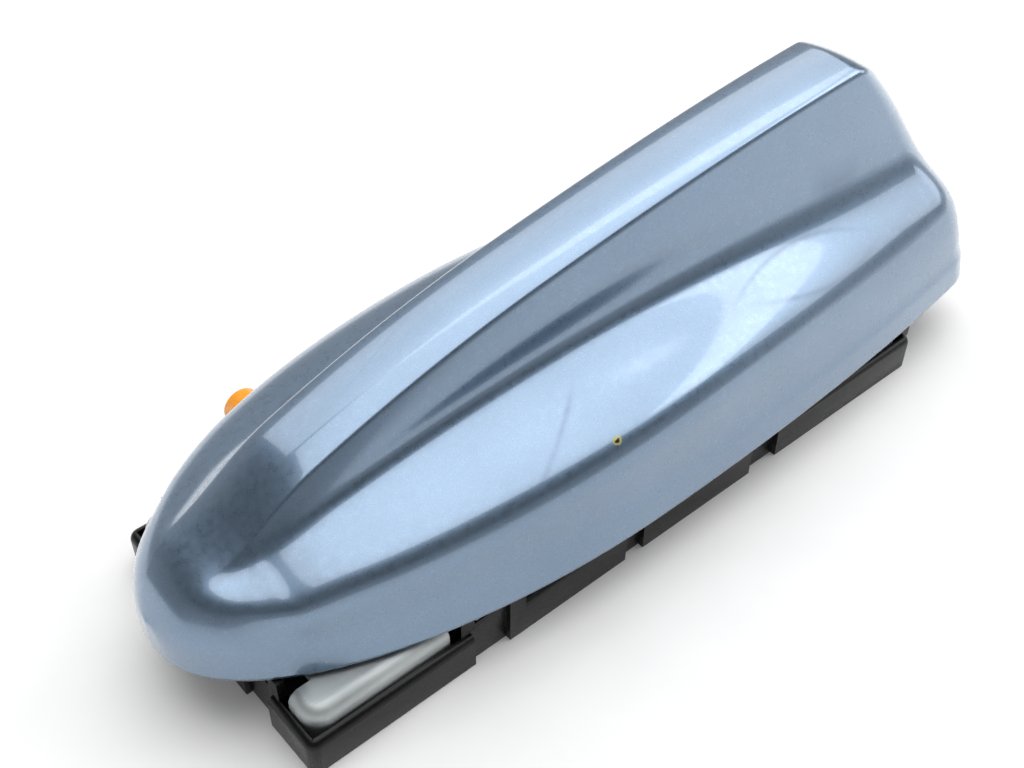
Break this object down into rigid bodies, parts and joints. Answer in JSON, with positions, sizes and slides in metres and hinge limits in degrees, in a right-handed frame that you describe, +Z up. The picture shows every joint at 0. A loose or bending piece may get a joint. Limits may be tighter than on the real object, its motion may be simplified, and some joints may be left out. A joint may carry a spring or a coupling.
{
  "type": "fin roof antenna",
  "caption": "Painted fin cover over a latched carrier frame with a drawn ground plate, side coaxial jacks and the antennas and amplifier board inside.",
  "frame": {"origin": "middle between the two fixing bushes, at the underside of the carrier frame", "axes": "+X towards the tail, +Y towards the coaxial jacks, +Z up from the roof"},
  "size_m": [0.1894, 0.0825, 0.0646],
  "materials": {
    "cover_paint": "metallic light steel-blue paint under clear coat",
    "seal_rubber": "black rubber",
    "frame_plastic": "fine-grained black moulding",
    "plate_steel": "satin drawn sheet",
    "lid_steel": "satin sheet",
    "board_laminate": "green solder resist",
    "screw_steel": "zinc-plated",
    "contact_brass": "turned brass",
    "amber_plastic": "amber moulding",
    "blue_plastic": "blue moulding",
    "red_plastic": "dark red moulding",
    "white_plastic": "natural white",
    "can_tinplate": "tin plate",
    "patch_ceramic": "sintered block",
    "electrode_silver": "fired silver",
    "carrier_plastic": "black moulding",
    "radiator_brass": "bright sheet",
    "chip_plastic": "moulded package"
  },
  "bodies": {
    "root": {"fin_cover": "cover_paint", "cover_seal": "seal_rubber", "base_frame": "frame_plastic", "ground_plate": "plate_steel", "bottom_lid": "lid_steel", "main_board": "board_laminate", "board_screws": "screw_steel", "fixing_bushes": "contact_brass", "jack_amber": "amber_plastic", "jack_blue": "blue_plastic", "jack_red": "red_plastic", "jack_sleeves": "contact_brass", "jack_insulators": "white_plastic", "jack_pins": "contact_brass", "patch_can": "can_tinplate", "patch_ceramic": "patch_ceramic", "patch_electrode": "electrode_silver", "patch_pin": "contact_brass", "radiator_carrier": "carrier_plastic", "phone_radiator": "radiator_brass", "radiator_pin": "contact_brass", "shield_can": "can_tinplate", "amplifier_chips": "chip_plastic"}
  },
  "joints": []
}
